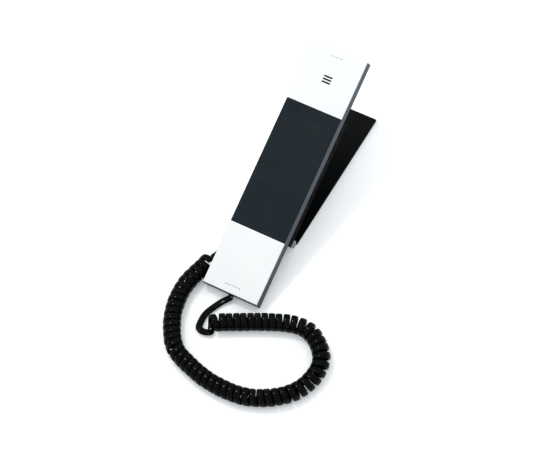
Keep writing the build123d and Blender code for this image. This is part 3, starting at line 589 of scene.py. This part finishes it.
def make_finishes():
    """Every finish that the record's material slots name, and the two inks."""
    white_plastic()
    leather_grip()
    grey_band()
    # The last colour given to each black plastic is its painted edge highlight.
    black_plastic("black_plastic", 0.30, 0.012, (0.0012, 0.0015, 0.0018), 0.07, (0.020, 0.020, 0.017))
    black_plastic("inner_cover", 0.55, 0.022, (0.010, 0.0105, 0.012), 0.35, (0.026, 0.027, 0.030))
    key_plastic("keys", (0.86, 0.86, 0.84), 0.26)
    key_plastic("function_keys", (0.16, 0.17, 0.18), 0.32)
    silicone()
    circuit_board()
    metal("sound_part", (0.58, 0.58, 0.60), 0.26, 0.42, (8, 0.12, 0.12), 0.010)
    acoustic_cloth()
    metal("weight", (0.42, 0.42, 0.43), 0.34, 0.55, (0.8, 0.8, 0.8), 0.030)
    metal("screw", (0.56, 0.56, 0.57), 0.22, 0.40, (0.15, 0.15, 1.0), 0.006, 2.0)
    rubber()
    painted_plate()
    metal("hinge_metal", (0.36, 0.40, 0.41), 0.34, 0.50, (0.12, 9, 9), 0.012)
    metal("pin", (0.60, 0.60, 0.61), 0.18, 0.32, (9, 0.10, 0.10), 0.005, 3.0)
    metal("spring", (0.60, 0.57, 0.50), 0.20, 0.36, (6, 0.15, 0.15), 0.006, 3.0)
    cord_plastic()
    clear_plug()
    printed_ink("grey_ink", (0.10, 0.10, 0.11))
    printed_ink("dark_ink", (0.03, 0.03, 0.035))


def dress_nodes():
    """Give every node of the part the finish of its slot."""
    for row in frame["record"]["subparts"]:
        data = NODES[row["node"]].data
        data.materials.clear()
        data.materials.append(FINISHES[row["material_slot"]])


# ---- Legends on the keys and marks on the covers ----
LEGEND_SIZE = 4.6
SMALL_LEGEND_SIZE = 3.0
LEGEND_T = 0.03
INK_GAP = 0.01
KEY_LEGENDS = {"star": "*", "hash": "#", "flash": "R", "redial": "»", "mute": "×"}


def key_face(node):
    """The middle of a key's outer face, which looks into the cradle."""
    corners = [vertex.co for vertex in NODES[node].data.vertices]
    face = min(corner.dot(OUT) for corner in corners)
    across = sorted(corner.dot(ACROSS) for corner in corners)
    along = sorted(corner.dot(ALONG) for corner in corners)
    return (
        ACROSS * (across[0] + across[-1]) / 2 + ALONG * (along[0] + along[-1]) / 2 + OUT * face
    )


def legend(node):
    """A printed character on one key."""
    word = node.removeprefix("key_")
    is_digit = word.isdigit() or word in ("star", "hash")
    data = bpy.data.curves.new("legend_" + word, "FONT")
    data.body = KEY_LEGENDS.get(word, word)
    data.size = (LEGEND_SIZE if is_digit else SMALL_LEGEND_SIZE) * MM
    data.align_x = "CENTER"
    data.align_y = "CENTER"
    data.extrude = LEGEND_T / 2 * MM
    text = bpy.data.objects.new("text", data)
    mesh = bpy.data.meshes.new_from_object(text)
    bpy.data.objects.remove(text)
    turn = Matrix((-ACROSS, ALONG, -OUT)).transposed().to_4x4()
    at = key_face(node) - OUT * (INK_GAP + LEGEND_T / 2) * MM
    mesh.transform(Matrix.Translation(at) @ turn)
    piece = link("legend_" + word, mesh)
    mesh.materials.append(FINISHES["dark_ink"])
    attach(piece, node)


MARK_T = 0.03
MARK_H = 1.1
MARK_W = 0.55
SHORT_MARK = 0.7                             # every second mark's height, as a share of the others'
MARK_END_STEPS = 6                           # steps round a mark's half-round end
TOP_MARKS = (5, 9.2, LENGTH - 6.0)           # how many, over what width, and how far along
LOWER_MARKS = (9, 13.8, 7.0)


def rounded_bar(mesh, middle, width, height, depth):
    """A thin bar with round ends, standing on the covers' outer face."""
    corners = []
    for side, start in ((1, 0.0), (-1, math.pi)):
        for step in range(MARK_END_STEPS + 1):
            angle = start + math.pi * step / MARK_END_STEPS
            across = width / 2 * math.cos(angle)
            along = side * (height / 2 - width / 2) + width / 2 * math.sin(angle)
            corners.append((across, along))
    low = [mesh.verts.new(middle + (ACROSS * a + ALONG * b) * MM) for a, b in corners]
    high = [mesh.verts.new(v.co + OUT * depth * MM) for v in low]
    mesh.faces.new(list(reversed(low)))
    mesh.faces.new(high)
    for i in range(len(corners)):
        j = (i + 1) % len(corners)
        mesh.faces.new((low[i], low[j], high[j], high[i]))


def cover_marks(name, count, width, along):
    """A row of plain upright marks printed across a cover."""
    mesh = bmesh.new()
    for i in range(count):
        across = (i / (count - 1) - 0.5) * (width - MARK_W)
        height = MARK_H * (1.0 if i % 2 == 0 else SHORT_MARK)
        rounded_bar(mesh, place(across, along, THICK + INK_GAP), MARK_W, height, MARK_T)
    bmesh.ops.recalc_face_normals(mesh, faces=mesh.faces)
    data = bpy.data.meshes.new(name)
    mesh.to_mesh(data)
    mesh.free()
    data.materials.append(FINISHES["grey_ink"])
    piece = link(name, data)
    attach(piece, "handset")


# ---- Studio ----
FLOOR_SIZE = 6.0
FLOOR_GLOW = 0.16
FLOOR_GLOW_COLOUR = (0.95, 1.0, 1.0)
WORLD_LOW = 0.58                # light from the horizon and from overhead
WORLD_HIGH = 0.82
WORLD_COLOUR = (0.965, 0.985, 1.0)
LIGHTS = [                      # name, where, aimed at, size, power in watts and colour
    ("key", (-0.55, 0.10, 1.45), (0, 0, 0), 0.11, 2.6, (1.0, 0.99, 0.97)),
    ("front_glint", (0.30, -1.6, 0.40), (0, -0.05, 0), 0.13, 0.55, (1, 1, 1)),
]


def area_light(name, at, target, size, power, colour):
    """A soft square light at one place, aimed at another."""
    data = bpy.data.lights.new(name, "AREA")
    data.shape = "SQUARE"
    data.size = size
    data.energy = power
    data.color = colour
    light = link(name, data)
    light.location = at
    light.rotation_mode = "QUATERNION"
    light.rotation_quaternion = (Vector(target) - Vector(at)).to_track_quat("-Z", "Y")


def make_floor():
    """A plain pale floor that glows a little, like a light table."""
    half = FLOOR_SIZE / 2
    data = bpy.data.meshes.new("floor")
    corners = [(-half, -half, 0), (half, -half, 0), (half, half, 0), (-half, half, 0)]
    data.from_pydata(corners, [], [(0, 1, 2, 3)])
    floor = link("floor", data)
    paint = Finish("floor", (0.9, 0.905, 0.91), 0.7, specular=0.2)
    paint.set("Emission Color", (*FLOOR_GLOW_COLOUR, 1))
    paint.set("Emission Strength", FLOOR_GLOW)
    data.materials.append(paint.material)


def make_world():
    """Soft light from all round, brighter overhead."""
    world = bpy.data.worlds.new("world")
    bpy.context.scene.world = world
    world.use_nodes = True
    tree = world.node_tree
    background = tree.nodes["Background"]
    background.inputs["Color"].default_value = (*WORLD_COLOUR, 1)
    direction = tree.nodes.new("ShaderNodeTexCoord").outputs["Generated"]
    height = tree.nodes.new("ShaderNodeSeparateXYZ")
    spread = tree.nodes.new("ShaderNodeMapRange")
    tree.links.new(direction, height.inputs[0])
    tree.links.new(height.outputs["Z"], spread.inputs["Value"])
    spread.inputs["To Min"].default_value = WORLD_LOW
    spread.inputs["To Max"].default_value = WORLD_HIGH
    tree.links.new(spread.outputs[0], background.inputs["Strength"])


make_finishes()
dress_nodes()
make_cord()
for row in frame["record"]["subparts"]:
    if row["node"].startswith("key_"):
        legend(row["node"])
cover_marks("ear_end_marks", *TOP_MARKS)
cover_marks("lower_end_marks", *LOWER_MARKS)
make_floor()
make_world()
for light in LIGHTS:
    area_light(*light)
bpy.context.scene.view_settings.view_transform = "Standard"
bpy.context.scene.view_settings.look = "High Contrast"
